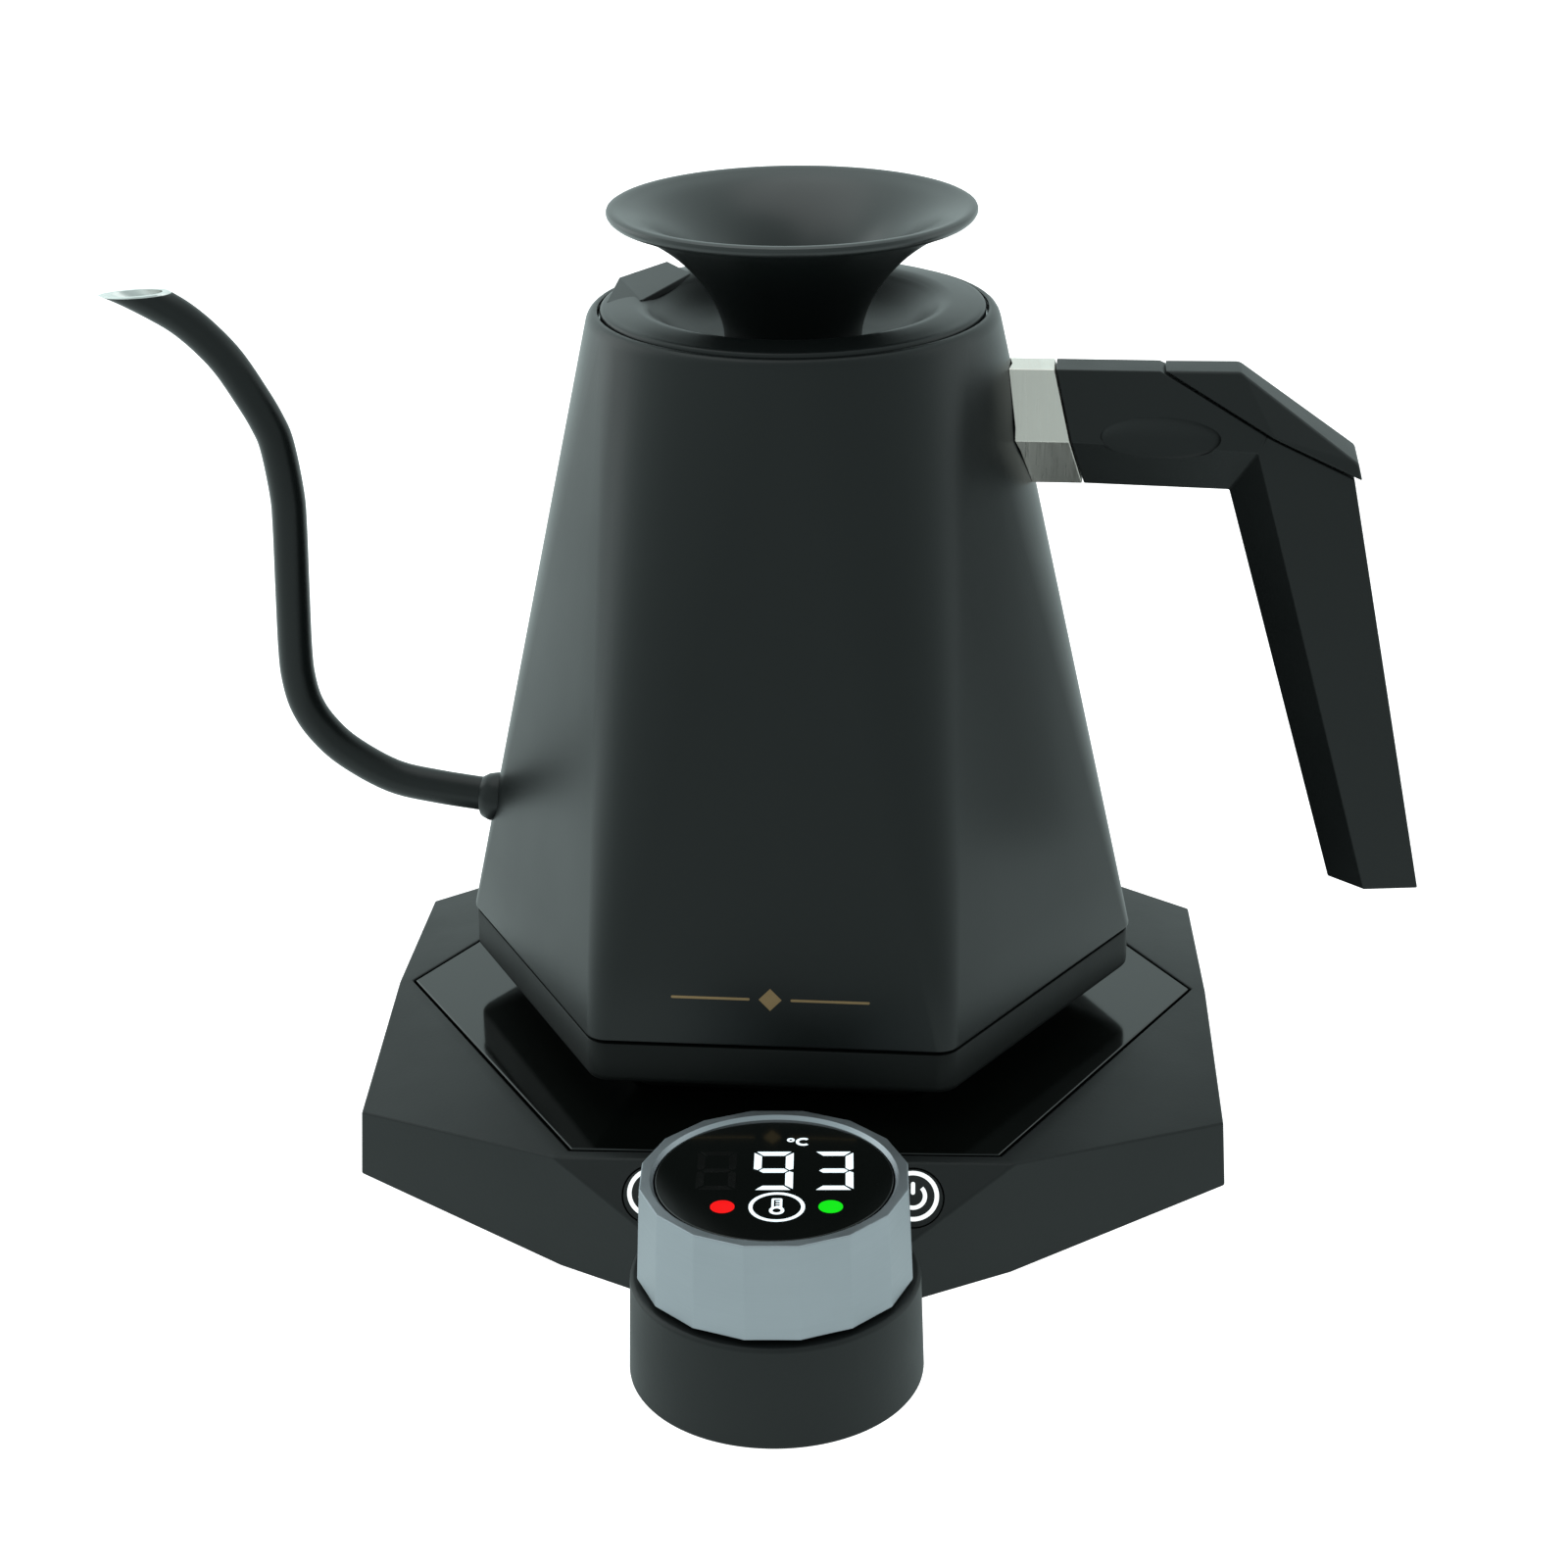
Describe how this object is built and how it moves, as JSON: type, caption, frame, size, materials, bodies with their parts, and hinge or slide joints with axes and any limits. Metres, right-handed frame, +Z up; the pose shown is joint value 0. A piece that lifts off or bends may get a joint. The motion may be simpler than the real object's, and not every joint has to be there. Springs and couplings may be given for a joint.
{
  "type": "electric kettle",
  "caption": "Gooseneck electric kettle that lifts off a six-cornered power base with a pressing and turning display knob, two keys and a flared lift-off lid.",
  "frame": {"origin": "middle of the whole assembly's box, on the table under the feet", "axes": "+X towards the handle, -X towards the spout, -Y towards the knob, +Z up"},
  "size_m": [0.2864, 0.2526, 0.2072],
  "materials": {
    "charcoal_plastic": "fine matte moulded plastic",
    "black_glass": "high gloss",
    "painted_steel": "matte powder coat",
    "grip_rubber": "soft-touch matte",
    "satin_silver": "satin",
    "brushed_steel": "brushed",
    "bare_steel": "plain",
    "black_rubber": "matte",
    "black_plastic": "fine matte moulded plastic",
    "circuit_board": "green solder mask",
    "copper": "bare contact metal and windings",
    "silicone": "food-grade silicone"
  },
  "bodies": {
    "base": {"base_housing": "charcoal_plastic", "base_cover": "black_plastic", "gloss_plate": "black_glass", "cord_inlet": "black_rubber", "cover_screw_1": "bare_steel", "cover_screw_2": "bare_steel", "cover_screw_3": "bare_steel", "cover_screw_4": "bare_steel", "foot_1": "black_rubber", "foot_2": "black_rubber", "foot_3": "black_rubber", "foot_4": "black_rubber", "foot_5": "black_rubber", "foot_6": "black_rubber", "foot_7": "black_rubber", "base_connector": "black_plastic", "contact_pin": "copper", "contact_ring_inner": "copper", "contact_ring_outer": "copper", "power_board": "circuit_board", "power_relay": "black_plastic", "transformer": "copper", "key_switch_left": "black_plastic", "key_switch_right": "black_plastic", "key_board": "circuit_board", "encoder_body": "black_plastic", "knob_spring": "bare_steel"},
    "swivel": {"turning_collar": "black_plastic"},
    "kettle": {"kettle_shell": "painted_steel", "kettle_skirt": "charcoal_plastic", "skirt_screw_1": "bare_steel", "skirt_screw_2": "bare_steel", "skirt_screw_3": "bare_steel", "boiler_floor": "bare_steel", "heating_element": "bare_steel", "temperature_probe": "bare_steel", "kettle_socket": "black_plastic", "neck_ring": "bare_steel", "spout_tube": "painted_steel", "spout_collar": "painted_steel", "spout_strainer": "bare_steel", "handle_ferrule": "brushed_steel", "handle_grip": "grip_rubber", "handle_cap": "grip_rubber", "handle_post": "bare_steel", "handle_screw": "bare_steel"},
    "lid": {"lid_disc": "painted_steel", "vent_hood": "painted_steel", "lid_liner": "black_plastic", "lid_seal": "silicone", "lid_flare": "painted_steel", "lid_screw": "bare_steel"},
    "display": {"display_housing": "black_plastic", "display_window": "black_glass", "display_board": "circuit_board", "encoder_shaft": "bare_steel"},
    "knob": {"knob_ring": "satin_silver"},
    "left_key": {"key_left": "charcoal_plastic"},
    "right_key": {"key_right": "charcoal_plastic"}
  },
  "joints": [
    {"name": "kettle_swivel", "type": "hinge", "parent": "base", "child": "swivel", "pos_m": [0.0062, 0.0184, 0.025], "axis": [0, 0, 1], "continuous": true},
    {"name": "kettle_lift", "type": "slide", "parent": "swivel", "child": "kettle", "axis": [0, 0, 1], "range_m": [0, 0.12]},
    {"name": "lid_lift", "type": "slide", "parent": "kettle", "child": "lid", "axis": [0, 0, 1], "range_m": [0, 0.06]},
    {"name": "knob_press", "type": "slide", "parent": "base", "child": "display", "axis": [0, 0, -1], "range_m": [0, 0.0006], "stiffness_N_per_m": 1500, "springref_m": -0.001, "deforming": ["knob_spring"]},
    {"name": "knob_turn", "type": "hinge", "parent": "display", "child": "knob", "pos_m": [0.0062, -0.097, 0.033], "axis": [0, 0, 1], "continuous": true},
    {"name": "key_left_press", "type": "slide", "parent": "base", "child": "left_key", "axis": [0, 0.6756, -0.7373], "range_m": [0, 0.0006], "stiffness_N_per_m": 500, "springref_m": -0.001},
    {"name": "key_right_press", "type": "slide", "parent": "base", "child": "right_key", "axis": [0, 0.6756, -0.7373], "range_m": [0, 0.0006], "stiffness_N_per_m": 500, "springref_m": -0.001}
  ]
}
